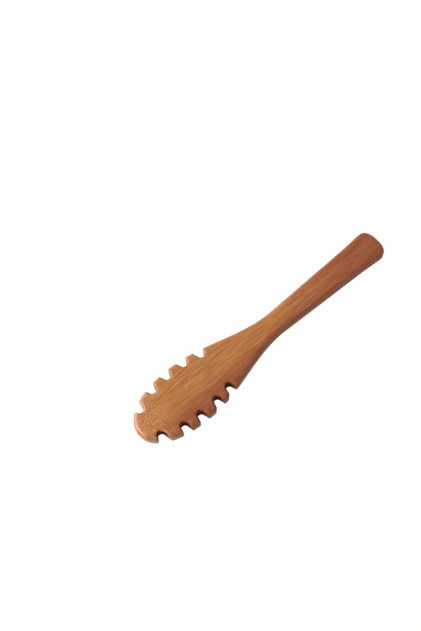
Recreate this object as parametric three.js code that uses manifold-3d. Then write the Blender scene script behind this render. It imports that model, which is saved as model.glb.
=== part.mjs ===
// Honey spoon: a flat paddle of laminated bamboo with notched blade edges.
// Upright lamellae, glued side by side, are cut to one leaf-and-handle outline and rounded over all round,
// more on top than underneath. The notches part the outer lamellae into teeth.
// Millimetres. X runs from the blade's tip to the handle's end, Y across, Z up from the flat underside.

import * as THREE from "three";
import { mergeVertices } from "three/addons/utils/BufferGeometryUtils.js";
import Module from "manifold-3d";

// Outline seen from above; stations are measured from the blade's tip
const LENGTH = 180;
const BLADE_WIDTH = 35.6;
const BLADE_WIDEST_AT = 35.6;
const BLADE_FRONT_FULLNESS = 2.22;
const NECK_WIDTH = 13;
const NECK_AT = 100;
const HANDLE_END_WIDTH = 17.9;
const HANDLE_END_FLARE = 0.4;
const HANDLE_END_FLARE_LENGTH = 14;
const HANDLE_END_ROUND = 5.8;
const HANDLE_END_FULLNESS = 2.35;

// Section: an even board, thinned towards the tip
const THICKNESS = 7;
const TIP_DROP = 1.8;
const TIP_DROP_LENGTH = 26;
const TOP_ROUND = 2.4;
const BOTTOM_ROUND = 1.2;

// Notches, in mirrored pairs along the blade's edges
const NOTCH_1_AT = 8.3;
const NOTCH_2_AT = 20.9;
const NOTCH_3_AT = 32;
const NOTCH_4_AT = 43.8;
const NOTCH_5_AT = 54.3;
const NOTCH_DEPTH = 4.9;
const NOTCH_ROOT_WIDTH = 4.4;
const NOTCH_MOUTH_WIDTH = 6;
const NOTCH_CHAMFER = 1;
const CORNER_CHAMFER_SHARE = 0.5;
const TOOTH_CORNER_AT_TIP = 0.7;
const TOOTH_CORNER_AT_SHOULDER = 1.6;

// Laminated stock; a notch at the widest station runs in past the outermost glue line
const LAMELLA_WIDTH = 5.6;
const NOTCH_PAST_GLUE = 0.2;
const GLUE_THICKNESS = 0.15;
const THINNEST_STRIP = 0.2;

// Steps that a curve is drawn with
const TIP_STEPS = 16;
const SHOULDER_STEPS = 22;
const HANDLE_STEPS = 16;
const END_STEPS = 9;
const ROUND_STEPS = 4;
const TOP_STEPS = 4;
const BOTTOM_STEPS = 1;
const NOTCH_ROOT_STEPS = 10;
const TOOTH_CORNER_STEPS = 4;
const WIDTH_SAMPLES = 24;

// How far cutters reach past the wood; a chamfer's overrun is a share of the chamfer
const BOX_MARGIN = 5;
const CHAMFER_OVERRUN = 0.5;

// Corners closer than this are one corner, and triangles thinner than this are left out
const MERGE_DISTANCE = 1e-4;
const NEEDLE_LIMIT = 0.003;

const BLADE_HALF = BLADE_WIDTH / 2;
const NECK_HALF = NECK_WIDTH / 2;
const HANDLE_END_HALF = HANDLE_END_WIDTH / 2;
const HANDLE_END_AT = LENGTH - HANDLE_END_ROUND;

const NOTCH_STATIONS = [NOTCH_1_AT, NOTCH_2_AT, NOTCH_3_AT, NOTCH_4_AT, NOTCH_5_AT];
// Lamellae from the middle outwards, and the glue line that each one starts from
const LAMELLA_ROWS = ["core", "side", "edge"];
const GLUE_LINES = [0, LAMELLA_WIDTH, BLADE_HALF - NOTCH_DEPTH + NOTCH_PAST_GLUE];

const BAMBOO_COLOURS = { core: 0xb9794c, side: 0xb07046, edge: 0xa66a42 };
const BAMBOO_ROUGHNESS = 0.55;
const GLUE_COLOUR = 0x7d4e30;
const GLUE_ROUGHNESS = 0.4;

const wasm = await Module();
wasm.setup();

// Half-width of the handle before its end is rounded
function handleHalf(station) {
  const along = THREE.MathUtils.clamp((station - NECK_AT) / (HANDLE_END_AT - NECK_AT), 0, 1);
  const flare = THREE.MathUtils.smoothstep(
    station, HANDLE_END_AT - HANDLE_END_FLARE_LENGTH, HANDLE_END_AT);
  return THREE.MathUtils.lerp(NECK_HALF, HANDLE_END_HALF, along) + HANDLE_END_FLARE * flare;
}

// Half-width of the outline, without notches, at a station
function halfWidth(station) {
  if (station <= BLADE_WIDEST_AT) {
    const reach = (BLADE_WIDEST_AT - Math.max(station, 0)) / BLADE_WIDEST_AT;
    return BLADE_HALF * (1 - reach ** BLADE_FRONT_FULLNESS) ** (1 / BLADE_FRONT_FULLNESS);
  }
  if (station <= NECK_AT) {
    const turn = (Math.PI * (station - BLADE_WIDEST_AT)) / (NECK_AT - BLADE_WIDEST_AT);
    return NECK_HALF + (BLADE_HALF - NECK_HALF) * (0.5 + 0.5 * Math.cos(turn));
  }
  const past = THREE.MathUtils.clamp((station - HANDLE_END_AT) / HANDLE_END_ROUND, 0, 1);
  return handleHalf(station) * (1 - past ** HANDLE_END_FULLNESS) ** (1 / HANDLE_END_FULLNESS);
}

// Stations where the outline is sampled: close together at the round tip and the rounded end
function outlineStations() {
  const stations = [];
  for (let i = 0; i < TIP_STEPS; i += 1) {
    stations.push(BLADE_WIDEST_AT * (1 - Math.cos((Math.PI / 2) * (i / TIP_STEPS))));
  }
  for (let i = 0; i < SHOULDER_STEPS; i += 1) {
    stations.push(THREE.MathUtils.lerp(BLADE_WIDEST_AT, NECK_AT, i / SHOULDER_STEPS));
  }
  for (let i = 0; i < HANDLE_STEPS; i += 1) {
    stations.push(THREE.MathUtils.lerp(NECK_AT, HANDLE_END_AT, i / HANDLE_STEPS));
  }
  for (let i = 0; i <= END_STEPS; i += 1) {
    stations.push(HANDLE_END_AT + HANDLE_END_ROUND * Math.sin((Math.PI / 2) * (i / END_STEPS)));
  }
  return stations;
}

// Closed outline from the tip along the left edge to the handle's end and back along the right edge
function outlinePoints() {
  const left = outlineStations().map((station) => new THREE.Vector2(station, halfWidth(station)));
  const right = left.slice(1, -1).reverse().map((point) => new THREE.Vector2(point.x, -point.y));
  return [...left, ...right];
}

function distanceToOutline(point, outline) {
  let nearest = Infinity;
  const line = new THREE.Line3();
  const target = new THREE.Vector3();
  const place = new THREE.Vector3(point.x, point.y, 0);
  outline.forEach((start, i) => {
    const end = outline[(i + 1) % outline.length];
    line.start.set(start.x, start.y, 0);
    line.end.set(end.x, end.y, 0);
    line.closestPointToPoint(place, true, target);
    nearest = Math.min(nearest, target.distanceTo(place));
  });
  return nearest;
}

// Height lost to a round-over of the given radius, at a distance in from the rim
function roundLoss(distance, radius) {
  const short = Math.max(radius - distance, 0);
  return radius - Math.sqrt(radius ** 2 - short ** 2);
}

function topHeight(place, distance) {
  const tipLoss = TIP_DROP * Math.max(1 - place.x / TIP_DROP_LENGTH, 0) ** 2;
  return THICKNESS - tipLoss - roundLoss(distance, TOP_ROUND);
}

function bottomHeight(place, distance) {
  return roundLoss(distance, BOTTOM_ROUND);
}

// Distances in from the rim at which a face is drawn: over its rounded edge, then on to the middle
function faceInsets(radius, steps, reach) {
  const insets = [];
  for (let i = 0; i <= ROUND_STEPS; i += 1) {
    insets.push(radius * (1 - Math.cos((Math.PI / 2) * (i / ROUND_STEPS))));
  }
  for (let i = 1; i <= steps; i += 1) {
    insets.push(THREE.MathUtils.lerp(radius, reach, i / steps));
  }
  return insets;
}

// Rings of points from the rim inwards to the middle line, where both edges meet
function ringsInward(outline, radius, steps, heightAt) {
  const spineStart = BLADE_HALF;
  const spineEnd = LENGTH - HANDLE_END_HALF;
  const columns = outline.map((rim) => {
    const middle = new THREE.Vector2(THREE.MathUtils.clamp(rim.x, spineStart, spineEnd), 0);
    const reach = rim.distanceTo(middle);
    return faceInsets(radius, steps, reach).map((inset) => rim.clone().lerp(middle, inset / reach));
  });
  return columns[0].map((_, ring) => columns.map((column) => {
    const plan = column[ring];
    const distance = ring === 0 ? 0 : distanceToOutline(plan, outline);
    return new THREE.Vector3(plan.x, plan.y, heightAt(plan, distance));
  }));
}

// Triangles between rings that run from the top down, each clockwise seen from above
function stripTriangles(ringTotal, count) {
  const index = [];
  for (let ring = 0; ring + 1 < ringTotal; ring += 1) {
    for (let i = 0; i < count; i += 1) {
      const a = ring * count + i;
      const b = ring * count + ((i + 1) % count);
      index.push(a, b, a + count, b, b + count, a + count);
    }
  }
  return index;
}

function ringGeometry(rings, index) {
  const positions = rings.flat().flatMap((point) => [point.x, point.y, point.z]);
  const geometry = new THREE.BufferGeometry();
  geometry.setAttribute("position", new THREE.Float32BufferAttribute(positions, 3));
  geometry.setIndex(index);
  return geometry;
}

// Uncut blank: a loft of rings over the top, round the rim and under the bottom
function blankGeometry(outline) {
  const top = ringsInward(outline, TOP_ROUND, TOP_STEPS, topHeight);
  const bottom = ringsInward(outline, BOTTOM_ROUND, BOTTOM_STEPS, bottomHeight);
  const rings = [...top.reverse(), ...bottom];
  return ringGeometry(rings, stripTriangles(rings.length, outline.length));
}

// Closed solid from a geometry, with shared corners merged and collapsed triangles left out
function solidFrom(geometry) {
  const bare = geometry.clone();
  bare.deleteAttribute("normal");
  bare.deleteAttribute("uv");
  const merged = mergeVertices(bare, MERGE_DISTANCE);
  const corners = merged.index.array;
  const triangles = [];
  for (let i = 0; i < corners.length; i += 3) {
    const [a, b, c] = corners.slice(i, i + 3);
    if (a !== b && b !== c && c !== a) {
      triangles.push(a, b, c);
    }
  }
  return new wasm.Manifold(new wasm.Mesh({
    numProp: 3,
    vertProperties: new Float32Array(merged.attributes.position.array),
    triVerts: new Uint32Array(triangles),
  }));
}

// Geometry of a cut solid, without the needle triangles that cuts leave behind
function geometryFrom(solid) {
  const mesh = solid.simplify(NEEDLE_LIMIT).getMesh();
  const geometry = new THREE.BufferGeometry();
  geometry.setAttribute("position", new THREE.BufferAttribute(mesh.vertProperties, 3));
  geometry.setIndex(new THREE.BufferAttribute(mesh.triVerts, 1));
  geometry.computeVertexNormals();
  return geometry;
}

// Where the bottom of a notch lies, measured from the middle line
function notchRoot(station) {
  return halfWidth(station) - NOTCH_DEPTH;
}

// Corner of a tooth beside a notch, from the outline to the notch's wall. The chamfer runs out along it,
// from no more than a share of the corner's size.
function toothCorner(station, direction, size) {
  const wall = station + (direction * NOTCH_MOUTH_WIDTH) / 2;
  const flat = wall + direction * size;
  const ease = new THREE.QuadraticBezierCurve(
    new THREE.Vector2(flat, halfWidth(flat)),
    new THREE.Vector2(wall, halfWidth(wall)),
    new THREE.Vector2(wall, halfWidth(wall) - size));
  const widest = Math.min(NOTCH_CHAMFER, size * CORNER_CHAMFER_SHARE);
  const points = ease.getPoints(TOOTH_CORNER_STEPS).map(
    (place, i) => ({ place, chamfer: (widest * i) / TOOTH_CORNER_STEPS }));
  const outside = new THREE.Vector2(flat, BLADE_HALF + BOX_MARGIN);
  return [{ place: outside, chamfer: 0 }, ...points];
}

// Plan of one notch on the left edge, anticlockwise: a round root and walls that open outwards
function notchPlan(station, cornerSize) {
  const rootRadius = NOTCH_ROOT_WIDTH / 2;
  const rootCentre = notchRoot(station) + rootRadius;
  const root = [];
  for (let i = 0; i <= NOTCH_ROOT_STEPS; i += 1) {
    const angle = Math.PI * (1 + i / NOTCH_ROOT_STEPS);
    const x = station + rootRadius * Math.cos(angle);
    const y = rootCentre + rootRadius * Math.sin(angle);
    root.push({ place: new THREE.Vector2(x, y), chamfer: NOTCH_CHAMFER });
  }
  const tipSide = toothCorner(station, -1, cornerSize);
  const handleSide = toothCorner(station, 1, cornerSize).reverse();
  return [...tipSide, ...root, ...handleSide];
}

// Height of the uncut top at a place, or of the rim where the place lies outside it
function blankTop(place, outline) {
  const isInside = Math.abs(place.y) < halfWidth(place.x);
  return topHeight(place, isInside ? distanceToOutline(place, outline) : 0);
}

// Cutter of one notch, with a chamfer that follows the top: rings from above the spoon to below it
function notchCutter(station, cornerSize, side, outline) {
  const plan = notchPlan(station, cornerSize);
  const columns = plan.map(({ place, chamfer }, i) => {
    const before = plan[Math.max(i - 1, 0)].place;
    const after = plan[Math.min(i + 1, plan.length - 1)].place;
    const along = after.clone().sub(before).normalize();
    const run = chamfer * (1 + CHAMFER_OVERRUN);
    const outer = new THREE.Vector2(place.x + run * along.y, place.y - run * along.x);
    const outerHeight = blankTop(outer, outline) + chamfer * CHAMFER_OVERRUN;
    return [
      new THREE.Vector3(outer.x, side * outer.y, THICKNESS + BOX_MARGIN),
      new THREE.Vector3(outer.x, side * outer.y, outerHeight),
      new THREE.Vector3(place.x, side * place.y, blankTop(place, outline) - chamfer),
      new THREE.Vector3(place.x, side * place.y, -BOX_MARGIN),
    ];
  });
  if (side > 0) {
    columns.reverse();
  }
  const rings = columns[0].map((_, ring) => columns.map((column) => column[ring]));
  const count = columns.length;
  const lowest = (rings.length - 1) * count;
  const lid = THREE.ShapeUtils.triangulateShape(rings[0], []).flat();
  const base = THREE.ShapeUtils.triangulateShape(rings[rings.length - 1], []).flat().reverse();
  const index = [...lid, ...stripTriangles(rings.length, count), ...base.map((corner) => corner + lowest)];
  return solidFrom(ringGeometry(rings, index));
}

// Box between two stations and two distances from the middle line, taller than the spoon
function stockBox(fromStation, toStation, fromY, toY) {
  const height = THICKNESS + 2 * BOX_MARGIN;
  const box = new THREE.BoxGeometry(toStation - fromStation, toY - fromY, height);
  return solidFrom(box.translate((fromStation + toStation) / 2, (fromY + toY) / 2, THICKNESS / 2));
}

// Largest half-width between two stations, clear of a notch wall at either end
function widestBetween(from, to) {
  const wall = NOTCH_MOUTH_WIDTH / 2;
  let widest = 0;
  for (let i = 0; i <= WIDTH_SAMPLES; i += 1) {
    const station = THREE.MathUtils.lerp(from + wall, to - wall, i / WIDTH_SAMPLES);
    widest = Math.max(widest, halfWidth(station));
  }
  return widest;
}

// Stretches of the spoon that reach past a line parallel to its middle, parted where they fall short.
// One that runs through the neck is the row's main piece, with no name of its own.
function stretchesBeyond(line) {
  const ends = [{ at: -BOX_MARGIN, name: "tip" }];
  NOTCH_STATIONS.forEach((station, i) => {
    if (notchRoot(station) < line) {
      const isLast = i === NOTCH_STATIONS.length - 1;
      ends.push({ at: station, name: isLast ? "shoulder" : `tooth_${i + 1}` });
    }
  });
  if (NECK_HALF < line) {
    ends.push({ at: NECK_AT, name: "handle" });
  }
  ends.push({ at: LENGTH + BOX_MARGIN, name: "end" });
  const stretches = [];
  for (let i = 0; i + 1 < ends.length; i += 1) {
    const from = ends[i].at;
    const to = ends[i + 1].at;
    const isMain = from < NECK_AT && NECK_AT < to;
    if (widestBetween(from, to) > line + THINNEST_STRIP) {
      stretches.push({ from, to, name: isMain ? "" : `_${ends[i].name}` });
    }
  }
  return stretches;
}

function pieceMesh(name, solid, colour, roughness) {
  const material = new THREE.MeshStandardMaterial({ color: colour, roughness, metalness: 0 });
  const mesh = new THREE.Mesh(geometryFrom(solid), material);
  mesh.name = name;
  return mesh;
}

const spoon = new THREE.Group();
// The group's origin is the middle of the footprint, on the flat underside
spoon.position.set(-LENGTH / 2, 0, 0);

const outline = outlinePoints();
let notchedBlank = solidFrom(blankGeometry(outline));
NOTCH_STATIONS.forEach((station, i) => {
  const towardsShoulder = i / (NOTCH_STATIONS.length - 1);
  const cornerSize = THREE.MathUtils.lerp(TOOTH_CORNER_AT_TIP, TOOTH_CORNER_AT_SHOULDER, towardsShoulder);
  for (const side of [1, -1]) {
    notchedBlank = notchedBlank.subtract(notchCutter(station, cornerSize, side, outline));
  }
});

// Adds what the notched blank holds between two distances from the middle line, on one side of it
function addPieces(name, inner, outer, side, colour, roughness) {
  const [right, left] = [side * inner, side * outer].sort((a, b) => a - b);
  for (const stretch of stretchesBeyond(Math.abs(inner))) {
    const solid = notchedBlank.intersect(stockBox(stretch.from, stretch.to, right, left));
    spoon.add(pieceMesh(`${name}${stretch.name}`, solid, colour, roughness));
  }
}

const filmHalf = GLUE_THICKNESS / 2;
addPieces("core_glue", -filmHalf, filmHalf, 1, GLUE_COLOUR, GLUE_ROUGHNESS);
LAMELLA_ROWS.forEach((rowName, row) => {
  const line = GLUE_LINES[row];
  const isEdge = row === LAMELLA_ROWS.length - 1;
  const outer = isEdge ? BLADE_HALF + BOX_MARGIN : GLUE_LINES[row + 1] - filmHalf;
  for (const [side, sideName] of [[1, "left"], [-1, "right"]]) {
    addPieces(`${rowName}_lamella_${sideName}`, line + filmHalf, outer, side,
      BAMBOO_COLOURS[rowName], BAMBOO_ROUGHNESS);
    if (row > 0) {
      addPieces(`${rowName}_glue_${sideName}`, line - filmHalf, line + filmHalf, side,
        GLUE_COLOUR, GLUE_ROUGHNESS);
    }
  }
});

export default spoon;
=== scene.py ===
"""Honey spoon in laminated bamboo: fine surfaces, bamboo and glue finishes, studio and camera."""
import math

import bpy
import numpy as np
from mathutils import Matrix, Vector
from mathutils.geometry import delaunay_2d_cdt


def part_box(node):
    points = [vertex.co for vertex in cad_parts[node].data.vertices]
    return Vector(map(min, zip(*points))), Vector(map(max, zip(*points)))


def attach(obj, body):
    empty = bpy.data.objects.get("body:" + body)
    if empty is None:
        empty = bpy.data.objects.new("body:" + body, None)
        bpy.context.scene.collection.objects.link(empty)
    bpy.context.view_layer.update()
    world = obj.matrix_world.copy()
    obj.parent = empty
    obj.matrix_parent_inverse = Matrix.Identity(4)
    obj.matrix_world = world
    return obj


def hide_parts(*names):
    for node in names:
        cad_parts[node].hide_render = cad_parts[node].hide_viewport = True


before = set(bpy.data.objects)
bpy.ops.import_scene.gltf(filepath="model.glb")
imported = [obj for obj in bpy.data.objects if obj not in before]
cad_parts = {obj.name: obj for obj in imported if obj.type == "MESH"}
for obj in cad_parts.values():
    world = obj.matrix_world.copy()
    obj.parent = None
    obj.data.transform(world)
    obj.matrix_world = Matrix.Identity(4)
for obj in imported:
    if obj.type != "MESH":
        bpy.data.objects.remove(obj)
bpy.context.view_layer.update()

MM = 0.001

# Outline in millimetres, as the solids have it; stations run from the blade's tip. The blade is as wide as
# the solids' facets reach.
LENGTH = 180.0
BLADE_HALF = 17.79
BLADE_WIDEST_AT = 35.6
BLADE_FRONT_FULLNESS = 2.22
NECK_HALF = 6.5
NECK_AT = 100.0
HANDLE_END_HALF = 8.95
HANDLE_END_FLARE = 0.4
HANDLE_END_FLARE_LENGTH = 14.0
HANDLE_END_ROUND = 5.8
HANDLE_END_FULLNESS = 2.35
HANDLE_END_AT = LENGTH - HANDLE_END_ROUND

# Section: an even board, thinned towards the tip
THICKNESS = 7.0
TIP_DROP = 1.8
TIP_DROP_LENGTH = 26.0
TOP_ROUND = 2.4
BOTTOM_ROUND = 1.2

# Notches as the solids have them, then the handwork on each: how much deeper it is sanded, or left shallower
# where negative, how far its mouth opens to the tip's side and to the handle's side, and how far the tooth
# corners there are eased
NOTCH_STATIONS = (8.3, 20.9, 32.0, 43.8, 54.3)
NOTCH_DEPTH = 4.9
NOTCH_ROOT_RADIUS = 2.2
HANDWORK = {
    "left": (
        (-0.3, (2.5, 3.4), (0.8, 0.7)),
        (-0.1, (3.0, 2.9), (0.9, 0.9)),
        (0.0, (2.9, 3.0), (1.2, 1.1)),
        (-0.2, (2.9, 2.9), (1.6, 1.4)),
        (0.0, (2.5, 3.2), (1.8, 1.6)),
    ),
    "right": (
        (0.8, (2.9, 3.4), (0.7, 0.7)),
        (0.5, (2.5, 2.9), (0.7, 1.0)),
        (0.5, (2.8, 2.6), (1.0, 1.9)),
        (0.8, (2.5, 2.9), (2.7, 1.8)),
        (0.5, (2.8, 2.2), (2.6, 2.6)),
    ),
}
NOTCH_TOP_EASE = 1.3
NOTCH_BOTTOM_EASE = 0.4

# Painted shade in the notches, with some browning from the cutter: how far it reaches from a wall, how
# deep in a notch it starts and is full, how it fades past the notch's middle on the handle's side, and
# how much of it the left side, which faces the light, keeps
SHADE_AND_BROWNING_REACH = 1.4
SHADE_AND_BROWNING_FULL_SHARE = 0.2
SHADE_AND_BROWNING_STARTS = 0.2
SHADE_AND_BROWNING_FULL = 1.4
SHADE_AND_BROWNING_HANDLE_FADE = (0.2, 1.6)
SHADE_AND_BROWNING_HANDLE_DELAY = 1.5
SHADE_AND_BROWNING_HANDLE_SPREAD = 1.0
SHADE_AND_BROWNING_HANDLE_LOSS = 0.98
SHADE_AND_BROWNING_LEFT_SHARE = 0.25

# Lamellae from the middle outwards, parted by glue films
LAMELLA_WIDTH = 5.6
NOTCH_PAST_GLUE = 0.2
GLUE_HALF = 0.075
ROWS = ("core", "side", "edge")
GLUE_LINES = (0.0, LAMELLA_WIDTH, BLADE_HALF - NOTCH_DEPTH + NOTCH_PAST_GLUE)
OUTSIDE = 30.0
NODE_MARGIN = 1.0

# Spacing of the points that a surface is drawn with
RIM_STEP = 0.5
GLUE_LINE_STEP = 1.0
GRID_STEP = 1.2
GRID_ROW_STEP = GRID_STEP * 0.866
ROUND_STEPS = 7
EASE_STEPS = 5
TIP_POINTS = 72
HANDLE_END_POINTS = 28
CORNER_POINTS = 7
ROOT_POINTS = 19
SHARP_ANGLE = math.radians(35)

# How far these points keep off edges and off each other
GRID_CLEARANCE = 0.4 * GRID_STEP
RING_CLEARANCE = 0.25
SEAM_CLEARANCE = 0.03

# Limits of the drawing: the share by which a ring's point may miss its distance, which points are one, the
# smallest square that is divided by, and how many points are measured together
RING_TOLERANCE = 0.05
SAME_POINT = 1e-5
SMALLEST_SQUARE = 1e-12
POINTS_AT_ONCE = 1500


def smoothstep(value, low, high):
    share = np.clip((value - low) / (high - low), 0, 1)
    return share * share * (3 - 2 * share)


# Form of the spoon

def handle_half(station):
    along = np.clip((station - NECK_AT) / (HANDLE_END_AT - NECK_AT), 0, 1)
    flare = smoothstep(station, HANDLE_END_AT - HANDLE_END_FLARE_LENGTH, HANDLE_END_AT)
    return NECK_HALF + (HANDLE_END_HALF - NECK_HALF) * along + HANDLE_END_FLARE * flare


def half_width(station):
    """Half-width of the outline without notches."""
    station = np.asarray(station, float)
    ahead = np.clip((BLADE_WIDEST_AT - station) / BLADE_WIDEST_AT, 0, 1)
    front = BLADE_HALF * (1 - ahead ** BLADE_FRONT_FULLNESS) ** (1 / BLADE_FRONT_FULLNESS)
    turn = np.pi * np.clip((station - BLADE_WIDEST_AT) / (NECK_AT - BLADE_WIDEST_AT), 0, 1)
    shoulder = NECK_HALF + (BLADE_HALF - NECK_HALF) * (0.5 + 0.5 * np.cos(turn))
    past = np.clip((station - HANDLE_END_AT) / HANDLE_END_ROUND, 0, 1)
    handle = handle_half(station) * (1 - past ** HANDLE_END_FULLNESS) ** (1 / HANDLE_END_FULLNESS)
    return np.where(station <= BLADE_WIDEST_AT, front, np.where(station <= NECK_AT, shoulder, handle))


def round_loss(distance, radius):
    short = np.clip(radius - distance, 0, radius)
    return radius - np.sqrt(radius ** 2 - short ** 2)


def outline_stations():
    """Stations along one edge, close together where the outline turns."""
    tip = BLADE_WIDEST_AT * (1 - np.cos(np.linspace(0, np.pi / 2, TIP_POINTS, endpoint=False)))
    straight = np.arange(BLADE_WIDEST_AT, HANDLE_END_AT, RIM_STEP)
    end = HANDLE_END_AT + HANDLE_END_ROUND * np.sin(np.linspace(0, np.pi / 2, HANDLE_END_POINTS))
    return np.concatenate([tip, straight, end])


def notch_corner(wall, direction, size):
    """Eased corner of a tooth, from the outline down to the notch's wall."""
    flat = wall + direction * size
    start = np.array([flat, half_width(flat)])
    apex = np.array([wall, half_width(wall)])
    finish = np.array([wall, half_width(wall) - size])
    share = np.linspace(0, 1, CORNER_POINTS)[:, None]
    return (1 - share) ** 2 * start + 2 * share * (1 - share) * apex + share ** 2 * finish


def spaced(points, step):
    """The same line with points added so that none lie further apart than the step."""
    filled = [points[:1]]
    for start, finish in zip(points[:-1], points[1:]):
        count = max(1, math.ceil(np.linalg.norm(finish - start) / step))
        filled.append(start + (finish - start) * np.linspace(0, 1, count + 1)[1:, None])
    return np.concatenate(filled)


def notch_wall(mouth, corners, depth):
    """Wall of one notch on the left edge, from the tip's side round the root to the handle's side."""
    middle = sum(mouth) / 2
    centre = np.array([middle, half_width(middle) - depth + NOTCH_ROOT_RADIUS])
    angle = np.linspace(np.pi, 2 * np.pi, ROOT_POINTS)
    root = centre + NOTCH_ROOT_RADIUS * np.stack([np.cos(angle), np.sin(angle)], 1)
    tip_side, handle_side = (notch_corner(*turn) for turn in zip(mouth, (-1, 1), corners))
    return spaced(np.concatenate([tip_side, root, handle_side[::-1]]), RIM_STEP)


def edge_lines(side):
    """One edge's line from the tip to the handle's end, laid out on the left, and its notch walls."""
    stations = outline_stations()
    line, walls, start = [], [], -math.inf
    for station, (sanding, opening, corners) in zip(NOTCH_STATIONS, HANDWORK[side]):
        mouth = (station - opening[0], station + opening[1])
        inside = stations[(stations > start) & (stations < mouth[0] - corners[0])]
        walls.append(notch_wall(mouth, corners, NOTCH_DEPTH + sanding))
        line += [np.stack([inside, half_width(inside)], 1), walls[-1]]
        start = mouth[1] + corners[1]
    rest = stations[stations > start]
    return np.concatenate(line + [np.stack([rest, half_width(rest)], 1)]), walls


def mirrored(line):
    return (line * (1, -1))[::-1]


left_edge, left_walls = edge_lines("left")
right_edge, right_walls = edge_lines("right")
SPOON_PLAN = np.concatenate([left_edge, mirrored(right_edge)[1:-1]])
WALLS = left_walls + [mirrored(wall) for wall in right_walls]
whole_edge = np.stack([outline_stations(), half_width(outline_stations())], 1)
OUTLINE = np.concatenate([whole_edge, mirrored(whole_edge)[1:]])


def distance_to(points, lines):
    """Distance from each point to the nearest of several lines."""
    starts = np.concatenate([line[:-1] for line in lines])
    runs = np.concatenate([line[1:] - line[:-1] for line in lines])
    squares = np.maximum((runs ** 2).sum(1), SMALLEST_SQUARE)
    nearest = []
    for chunk in np.array_split(points, max(1, len(points) // POINTS_AT_ONCE)):
        offset = chunk[:, None] - starts
        share = np.clip((offset * runs).sum(2) / squares, 0, 1)
        nearest.append(np.linalg.norm(offset - share[..., None] * runs, axis=2).min(1))
    return np.concatenate(nearest)


def top_height(plan):
    tip_loss = TIP_DROP * np.clip(1 - plan[:, 0] / TIP_DROP_LENGTH, 0, 1) ** 2
    rim = round_loss(distance_to(plan, [OUTLINE]), TOP_ROUND)
    notch = round_loss(distance_to(plan, WALLS), NOTCH_TOP_EASE)
    return THICKNESS - tip_loss - np.maximum(rim, notch)


def bottom_height(plan):
    rim = round_loss(distance_to(plan, [OUTLINE]), BOTTOM_ROUND)
    notch = round_loss(distance_to(plan, WALLS), NOTCH_BOTTOM_EASE)
    return np.maximum(rim, notch)


def notch_shade_and_browning(plan):
    """How much painted shade, with some browning from the cutter, darkens each point: the notch walls, most
    on the tip's side.
    """
    depth = half_width(plan[:, 0]) - np.abs(plan[:, 1])
    offsets = plan[:, :1] - np.array(NOTCH_STATIONS)
    offset = offsets[np.arange(len(plan)), np.abs(offsets).argmin(1)]
    handle_side = smoothstep(offset, *SHADE_AND_BROWNING_HANDLE_FADE)
    reach = SHADE_AND_BROWNING_REACH * (1 - SHADE_AND_BROWNING_HANDLE_LOSS * handle_side)
    near_wall = 1 - smoothstep(distance_to(plan, WALLS) / reach, SHADE_AND_BROWNING_FULL_SHARE, 1.0)
    full = SHADE_AND_BROWNING_FULL + SHADE_AND_BROWNING_HANDLE_SPREAD * handle_side
    deep = smoothstep(depth - SHADE_AND_BROWNING_HANDLE_DELAY * handle_side, SHADE_AND_BROWNING_STARTS, full)
    # Painted shade: the right side's notches, turned from the light, get all of it, the lit left side only a
    # share
    side_share = np.where(plan[:, 1] < 0, 1.0, SHADE_AND_BROWNING_LEFT_SHARE)
    return near_wall * deep * side_share


# Plan of one piece and the points that its surface is drawn with

def clip(polygon, axis, limit, sign):
    """What a polygon has on one side of a line across the given axis."""
    inside = sign * (polygon[:, axis] - limit) >= 0
    kept = []
    for i, point in enumerate(polygon):
        before = polygon[i - 1]
        if inside[i] != inside[i - 1]:
            share = (limit - before[axis]) / (point[axis] - before[axis])
            kept.append(before + share * (point - before))
        if inside[i]:
            kept.append(point)
    return np.array(kept)


def closed(polygon):
    return np.concatenate([polygon, polygon[:1]])


def inside_of(points, polygon):
    x, y = points[:, :1], points[:, 1:]
    a, b = polygon, np.roll(polygon, -1, 0)
    spans = (a[:, 1] > y) != (b[:, 1] > y)
    rise = np.where(a[:, 1] == b[:, 1], 1, b[:, 1] - a[:, 1])
    crossing = a[:, 0] + (y - a[:, 1]) / rise * (b[:, 0] - a[:, 0])
    return ((spans & (x < crossing)).sum(1) % 2).astype(bool)


def insets(radius, steps):
    return radius * (1 - np.cos(np.linspace(0, np.pi / 2, steps + 1)[1:]))


def inset_points(line, radius, steps):
    """Points in from a line on its right-hand side, where a rounded edge of that radius turns."""
    run = np.gradient(line, axis=0)
    across = np.stack([run[:, 1], -run[:, 0]], 1) / np.linalg.norm(run, axis=1)[:, None]
    rings = []
    for inset in insets(radius, steps):
        ring = line + inset * across
        true = np.abs(distance_to(ring, [line]) - inset) < RING_TOLERANCE * inset
        rings.append(ring[true])
    return np.concatenate(rings)


def grid_points(low, high):
    columns = np.arange(low[0], high[0], GRID_STEP)
    rows = np.arange(low[1], high[1], GRID_ROW_STEP)
    x, y = np.meshgrid(columns, rows)
    x[1::2] += GRID_STEP / 2
    return np.stack([x.ravel(), y.ravel()], 1)


RIM_POINTS = inset_points(OUTLINE, TOP_ROUND, ROUND_STEPS)
NOTCH_POINTS = np.concatenate([inset_points(line, NOTCH_TOP_EASE, EASE_STEPS) for line in WALLS])


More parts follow.
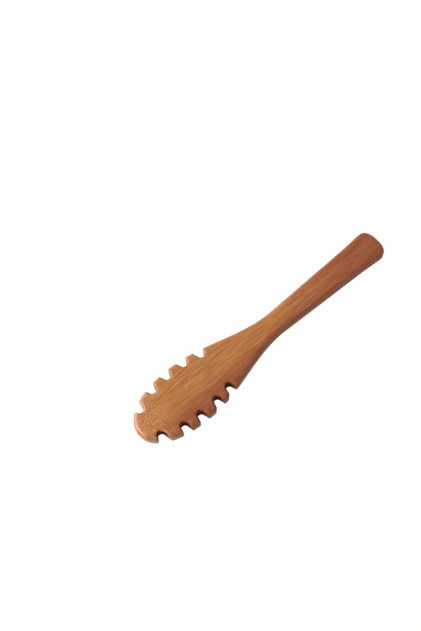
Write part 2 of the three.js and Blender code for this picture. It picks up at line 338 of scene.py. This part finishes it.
def inner_points(polygon):
    """Points inside a piece's plan: along its rounded edges and on a grid between them."""
    edge = [closed(polygon)]
    grid = grid_points(polygon.min(0), polygon.max(0))
    grid = grid[inside_of(grid, polygon)]
    clear = distance_to(grid, [OUTLINE]) > TOP_ROUND + GRID_CLEARANCE
    clear &= distance_to(grid, WALLS) > NOTCH_TOP_EASE + GRID_CLEARANCE
    clear &= distance_to(grid, edge) > GRID_CLEARANCE
    found = [grid[clear]]
    for ring, keep_off in ((RIM_POINTS, WALLS), (NOTCH_POINTS, [OUTLINE])):
        near = np.all((ring > polygon.min(0)) & (ring < polygon.max(0)), axis=1)
        ring = ring[near]
        ring = ring[inside_of(ring, polygon)]
        if len(ring):
            free = distance_to(ring, edge) > SEAM_CLEARANCE
            free &= distance_to(ring, keep_off) > RING_CLEARANCE
            found.append(ring[free])
    return np.concatenate(found)


def piece_mesh(name, polygon):
    """Closed mesh over a plan: top rounded at its edges and thinned towards the tip, flat underside and
    upright walls.
    """
    polygon = spaced(closed(polygon), GLUE_LINE_STEP)[:-1]
    count = len(polygon)
    points = np.concatenate([polygon, inner_points(polygon)])
    ring = [(i, (i + 1) % count) for i in range(count)]
    plan, _, triangles, *_ = delaunay_2d_cdt([Vector(p) for p in points], ring, [], 1, SAME_POINT)
    plan = np.array([tuple(p) for p in plan])
    triangles = [upward(plan, triangle) for triangle in triangles]
    directed = {(a, b) for t in triangles for a, b in zip(t, t[1:] + t[:1])}
    rim = [(a, b) for a, b in directed if (b, a) not in directed]
    size = len(plan)
    top = np.column_stack([plan, top_height(plan)])
    bottom = np.column_stack([plan, bottom_height(plan)])
    faces = list(triangles)
    faces += [[i + size for i in reversed(t)] for t in triangles]
    faces += [[a, a + size, b + size, b] for a, b in sorted(rim)]
    corners = (np.concatenate([top, bottom]) - (LENGTH / 2, 0, 0)) * MM
    mesh = bpy.data.meshes.new(name)
    mesh.from_pydata(corners.tolist(), [], faces)
    scorch = mesh.attributes.new("scorch", "FLOAT", "POINT")
    scorch.data.foreach_set("value", np.tile(notch_shade_and_browning(plan), 2).astype(np.float32))
    mesh.validate()
    mesh.shade_smooth()
    mesh.set_sharp_from_angle(angle=SHARP_ANGLE)
    return mesh


def upward(plan, triangle):
    a, b, c = (plan[i] for i in triangle)
    turn = (b[0] - a[0]) * (c[1] - a[1]) - (b[1] - a[1]) * (c[0] - a[0])
    return list(triangle) if turn > 0 else list(reversed(triangle))


# Shader building

class Wire:
    """One value in a finish: a node's output that Python arithmetic can work on."""

    def __init__(self, finish, socket):
        self.finish = finish
        self.socket = socket

    def out(self, name):
        return Wire(self.finish, self.socket.node.outputs[name])

    def math(self, operation, first, second=0.0):
        return self.finish.node("ShaderNodeMath", {"operation": operation}, {0: first, 1: second})

    def __add__(self, other):
        return self.math("ADD", self, other)

    def __sub__(self, other):
        return self.math("SUBTRACT", self, other)

    def __rsub__(self, other):
        return self.math("SUBTRACT", other, self)

    def __mul__(self, other):
        return self.math("MULTIPLY", self, other)

    def __truediv__(self, other):
        return self.math("DIVIDE", self, other)

    def __rtruediv__(self, other):
        return self.math("DIVIDE", other, self)

    __radd__ = __add__
    __rmul__ = __mul__

    def floor(self):
        return self.math("FLOOR", self)

    def smooth(self, low, high):
        """0 below low, 1 above high and an even turn between them; low may be the larger."""
        return self.finish.node("ShaderNodeMapRange", {"interpolation_type": "SMOOTHSTEP"},
                                {"Value": self, "From Min": low, "From Max": high})


class Finish:
    """The nodes of a material, or of the world, that are being put together."""

    def __init__(self, owner):
        self.owner = owner
        owner.use_nodes = True
        self.tree = owner.node_tree
        self.tree.nodes.clear()

    def node(self, kind, settings=None, sockets=None, output=0):
        made = self.tree.nodes.new(kind)
        for key, value in (settings or {}).items():
            if key == "stops":
                set_stops(made.color_ramp, value)
            else:
                setattr(made, key, value)
        for key, value in (sockets or {}).items():
            if isinstance(value, Wire):
                self.tree.links.new(value.socket, made.inputs[key])
            else:
                made.inputs[key].default_value = value
        return Wire(self, made.outputs[output]) if made.outputs else None

    def vector(self, operation, first, second):
        """Vector Math on two vectors, or on a vector and its scale."""
        second_socket = "Scale" if operation == "SCALE" else 1
        return self.node("ShaderNodeVectorMath", {"operation": operation},
                         {0: first, second_socket: second})

    def mix(self, share, first, second, blend="MIX"):
        """Colour between two others."""
        return self.node("ShaderNodeMix", {"data_type": "RGBA", "blend_type": blend},
                         {0: share, 6: first, 7: second}, output=2)

    def noise(self, place, stretch, detail, roughness=0.5):
        """Noise whose lumps are as many per millimetre as the stretch says."""
        return self.node("ShaderNodeTexNoise", {},
                         {"Vector": self.vector("MULTIPLY", place, stretch), "Scale": 1.0,
                          "Detail": detail, "Roughness": roughness})

    def surface(self, shader, output="ShaderNodeOutputMaterial"):
        self.node(output, {}, {"Surface": shader})
        return self.owner


def set_stops(ramp, stops):
    while len(ramp.elements) < len(stops):
        ramp.elements.new(0.5)
    for element, (position, colour) in zip(ramp.elements, stops):
        element.position = position
        element.color = colour


def srgb(red, green, blue):
    """Linear colour with full alpha from 0 to 255 display values."""
    def linear(value):
        value /= 255
        return value / 12.92 if value <= 0.04045 else ((value + 0.055) / 1.055) ** 2.4
    return (linear(red), linear(green), linear(blue), 1.0)


# Finishes

FIBRE_DARK = srgb(151, 85, 37)
FIBRE_MID = srgb(182, 115, 56)
FIBRE_LIGHT = srgb(205, 140, 78)
FIBRE_STOPS = ((0.05, FIBRE_DARK), (0.5, FIBRE_MID), (0.95, FIBRE_LIGHT))
# Near side: painted shade where it turns from the light, together with a redder wood
NEAR_SIDE_SHADE_AND_TONE = (0.66, 0.46, 0.46, 1.0)
# Handle: painted falloff of the light towards its end, together with a darker, redder wood
HANDLE_SHADE_AND_TONE = (0.76, 0.53, 0.55, 1.0)
# Notch walls: painted shade, with some browning from the cutter
CUT_SHADE_BROWN = srgb(112, 52, 33)
CUT_SHADE_BLACK = srgb(74, 34, 22)
GLUE_BROWN = srgb(150, 92, 56)

# Marks of the fibre: lumps per millimetre along and across, detail, and roughness
STREAKS = ((0.07, 1.3, 1.3), 3.0, 0.6)
HAIRS = ((0.12, 3.0, 3.0), 2.0)
BUNDLES = ((0.018, 1.0, 1.0), 3.0, 0.6)
FLECKS = ((0.8, 1.7, 1.7), 2.0)
DRIFT = ((0.012, 0.05, 0.05), 1.0)
GLUE_MOTTLE = ((0.3, 1.0, 1.0), 2.0)
DRIFT_REACH = (0.0, 2.0, 2.0)
LANE_SHIFT = (60.0, 9.0, 9.0)
LANE_SEEDS = (3.0, 11.0, 19.0)
LANE_TONES = 0.1

# How strongly each mark shows on the blade, and what the tip and the handle add to that
STREAK_WEIGHTS = (1.7, -1.5, -1.1)
HAIR_WEIGHTS = (0.9, -0.7, 1.1)
BUNDLE_WEIGHTS = (1.4, 0.0, -0.7)
FLECK_WEIGHTS = (0.25, 2.2, 0.5)

# Where the finish changes, in millimetres from the spoon's middle towards the handle
TIP_RANGE = (24 - LENGTH / 2, 8 - LENGTH / 2)
PAST_BLADE_RANGE = (-35.0, 15.0)
HANDLE_RANGE = (0.0, 70.0)
NEAR_NARROWING_RANGE = (-45.0, 10.0)

# The near side's darker, redder look, partly painted shade on the side turned from the light and partly a
# redder
# wood: its reach on the blade, how much narrower it is past the blade, how it fades across and what the tip
# and the handle lose of it
NEAR_REACH = 12.0
NEAR_NARROWING = 4.5
NEAR_FADE = (0.15, -1.0)
NEAR_LOSS = 0.6

# How level a surface is where the tip's oiled rim starts and where it is full
RIM_LEVEL = (0.99, 0.85)


def with_shade_and_browning(finish, clean, streaks):
    """The material of a finish: clean as given, and dry and dark where the notches carry painted shade and
    the cutter's browning.
    """
    shade_and_browning_share = finish.node("ShaderNodeAttribute", {"attribute_name": "scorch"}, output="Fac")
    shaded_and_browned = finish.node("ShaderNodeBsdfPrincipled", {}, {
        "Base Color": finish.mix(streaks, CUT_SHADE_BLACK, CUT_SHADE_BROWN),
        "Roughness": 0.8,
        "Specular IOR Level": 0.1,
    })
    return finish.surface(finish.node("ShaderNodeMixShader", {}, {0: shade_and_browning_share, 1: clean, 2: shaded_and_browned}))


def bamboo(name, seed):
    """Oiled caramel bamboo: fibres along the length, each lamella with its own tone, notches darkened with
    painted shade and some browning.
    """
    finish = Finish(bpy.data.materials.new(name))
    coordinates = finish.node("ShaderNodeTexCoord", output="Object")
    place = finish.vector("SCALE", coordinates, 1 / MM)
    axes = finish.node("ShaderNodeSeparateXYZ", {}, {0: place})
    along, across = axes.out("X"), axes.out("Y")
    lane = (across / LAMELLA_WIDTH).floor() + seed
    lot = finish.node("ShaderNodeTexWhiteNoise", {"noise_dimensions": "1D"}, {"W": lane})
    shift = finish.vector("MULTIPLY", lot.out("Color"), LANE_SHIFT)
    drift = finish.noise(place, *DRIFT).out("Color")
    drift = finish.vector("MULTIPLY", finish.vector("SUBTRACT", drift, (0.5, 0.5, 0.5)), DRIFT_REACH)
    strand = finish.vector("ADD", finish.vector("ADD", place, shift), drift)

    streaks = finish.noise(strand, *STREAKS)
    hairs = finish.noise(strand, *HAIRS)
    bundles = finish.noise(strand, *BUNDLES)
    flecks = finish.noise(strand, *FLECKS)
    on_tip = along.smooth(*TIP_RANGE)
    on_handle = along.smooth(*HANDLE_RANGE)
    past_blade = along.smooth(*PAST_BLADE_RANGE)

    def shown(mark, weights):
        blade, tip, handle = weights
        return (mark - 0.5) * (blade + on_tip * tip + on_handle * handle)

    lines = shown(streaks, STREAK_WEIGHTS) + shown(hairs, HAIR_WEIGHTS)
    lines = lines + shown(bundles, BUNDLE_WEIGHTS) * past_blade
    tone = (lot.out("Value") - 0.5) * LANE_TONES
    grain = 0.5 + lines + shown(flecks, FLECK_WEIGHTS) + tone
    wood = finish.node("ShaderNodeValToRGB", {"stops": FIBRE_STOPS}, {"Fac": grain})
    # Near side darker and redder: partly painted shade, partly a redder wood
    near_reach = NEAR_REACH - NEAR_NARROWING * along.smooth(*NEAR_NARROWING_RANGE)
    near = (across / near_reach).smooth(*NEAR_FADE) * (1 - (on_handle + on_tip) * NEAR_LOSS)
    wood = finish.mix(near, wood, NEAR_SIDE_SHADE_AND_TONE, "MULTIPLY")
    # Handle darker: partly painted shade where the light falls off, partly a darker wood
    wood = finish.mix(on_handle, wood, HANDLE_SHADE_AND_TONE, "MULTIPLY")

    facing = finish.node("ShaderNodeNewGeometry", output="Normal")
    level = finish.node("ShaderNodeSeparateXYZ", {}, {0: facing}).out("Z")
    relief = streaks * 0.5 + hairs * 0.5
    bump = finish.node("ShaderNodeBump", {}, {"Height": relief, "Strength": 0.15, "Distance": 0.0003})
    oiled = finish.node("ShaderNodeBsdfPrincipled", {}, {
        "Base Color": wood,
        "Roughness": 0.34 + (streaks - 0.5) * 0.2,
        "Coat Weight": on_tip * level.smooth(*RIM_LEVEL),
        "Coat Roughness": 0.3,
        "Normal": bump,
        "IOR": 1.53,
    })
    return with_shade_and_browning(finish, oiled, streaks)


def glue(name):
    """Cured glue film, a little darker and smoother than the bamboo beside it."""
    finish = Finish(bpy.data.materials.new(name))
    place = finish.vector("SCALE", finish.node("ShaderNodeTexCoord", output="Object"), 1 / MM)
    mottle = finish.noise(place, *GLUE_MOTTLE)
    film = finish.node("ShaderNodeBsdfPrincipled", {}, {
        "Base Color": finish.mix(mottle, GLUE_BROWN, FIBRE_DARK),
        "Roughness": 0.35 + mottle * 0.15,
    })
    return with_shade_and_browning(finish, film, mottle)


FINISHES = {row: bamboo(f"bamboo_{row}", seed) for row, seed in zip(ROWS, LANE_SEEDS)}
GLUE_FINISH = glue("glue_film")


# Pieces

def piece_plan(node, inner, outer):
    """Plan of a node between two distances from the middle, as far along as the node reaches."""
    low, high = (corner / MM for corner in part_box(node))
    side = -1 if "_right" in node else 1
    near, far = sorted((side * inner, side * outer))
    plan = clip(SPOON_PLAN, 1, near, 1)
    plan = clip(plan, 1, far, -1)
    plan = clip(plan, 0, low.x + LENGTH / 2 - NODE_MARGIN, 1)
    return clip(plan, 0, high.x + LENGTH / 2 + NODE_MARGIN, -1)


def add_piece(node, suffix, inner, outer, material):
    name = f"{node}_{suffix}"
    piece = bpy.data.objects.new(name, piece_mesh(name, piece_plan(node, inner, outer)))
    bpy.context.scene.collection.objects.link(piece)
    piece.data.materials.append(material)
    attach(piece, "root")
    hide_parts(node)


for node in sorted(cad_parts):
    row = ROWS.index(node.split("_")[0])
    line = GLUE_LINES[row]
    if "glue" in node:
        add_piece(node, "film", line - GLUE_HALF, line + GLUE_HALF, GLUE_FINISH)
    else:
        outer = OUTSIDE if ROWS[row] == "edge" else GLUE_LINES[row + 1] - GLUE_HALF
        add_piece(node, "wood", line + GLUE_HALF, outer, FINISHES[ROWS[row]])


# Studio: pale floor, one soft window to the left of the blade, a dim dome all round

VIEW_TURN = math.radians(41.044)
VIEW_RISE = math.radians(64.986)
VIEW_DISTANCE = 550 * MM
VIEW_LENS = 55.13
RIGHT = Vector((math.cos(VIEW_TURN), -math.sin(VIEW_TURN), 0))
AWAY = Vector((math.sin(VIEW_TURN), math.cos(VIEW_TURN), 0))
UP = Vector((0, 0, 1))
AIM = (-29.525 * RIGHT + 12.594 * AWAY) * MM

WHITE = (1, 1, 1, 1)
FLOOR_GREY = (0.8, 0.8, 0.8, 1)
FLOOR_REACH = 6.0
FLOOR_DROP = 0.02 * MM
DOME_STRENGTH = 0.5
BLADE_MIDDLE = Vector((-50, 0, 0)) * MM
WINDOW_PLACE = BLADE_MIDDLE - 0.5 * RIGHT + 0.06 * AWAY + 0.3 * UP
WINDOW_SIZE = 0.75
WINDOW_POWER = 4.95


def look(thing, target):
    thing.rotation_euler = (target - thing.location).to_track_quat("-Z", "Y").to_euler()


def window_light():
    lamp = bpy.data.lights.new("window", "AREA")
    lamp.shape = "DISK"
    lamp.size = WINDOW_SIZE
    lamp.energy = WINDOW_POWER
    light = bpy.data.objects.new("window", lamp)
    bpy.context.scene.collection.objects.link(light)
    light.location = WINDOW_PLACE
    look(light, BLADE_MIDDLE)


def seen_white(finish, lit, glow):
    """Plain white for the camera, and the shader that is given for the light in the room."""
    ray = finish.node("ShaderNodeLightPath", output="Is Camera Ray")
    white = finish.node(glow, {}, {"Color": WHITE, "Strength": 1.0})
    return finish.node("ShaderNodeMixShader", {}, {0: ray, 1: lit, 2: white})


def pale_floor():
    turns = ((-1, -1), (1, -1), (1, 1), (-1, 1))
    corners = [(x * FLOOR_REACH, y * FLOOR_REACH, -FLOOR_DROP) for x, y in turns]
    mesh = bpy.data.meshes.new("floor")
    mesh.from_pydata(corners, [], [(0, 1, 2, 3)])
    floor = bpy.data.objects.new("floor", mesh)
    bpy.context.scene.collection.objects.link(floor)
    sweep = Finish(bpy.data.materials.new("white_sweep"))
    matte = sweep.node("ShaderNodeBsdfDiffuse", {}, {"Color": FLOOR_GREY})
    floor.data.materials.append(sweep.surface(seen_white(sweep, matte, "ShaderNodeEmission")))


def pale_dome():
    sky = Finish(bpy.data.worlds.new("dome"))
    light = sky.node("ShaderNodeBackground", {}, {"Color": WHITE, "Strength": DOME_STRENGTH})
    backdrop = seen_white(sky, light, "ShaderNodeBackground")
    bpy.context.scene.world = sky.surface(backdrop, "ShaderNodeOutputWorld")


pale_floor()
pale_dome()
window_light()

lens = bpy.data.cameras.new("camera")
lens.lens = VIEW_LENS
camera = bpy.data.objects.new("camera", lens)
bpy.context.scene.collection.objects.link(camera)
camera.location = AIM + VIEW_DISTANCE * (math.sin(VIEW_RISE) * UP - math.cos(VIEW_RISE) * AWAY)
look(camera, AIM)
bpy.context.scene.camera = camera
bpy.context.scene.view_settings.view_transform = "Standard"
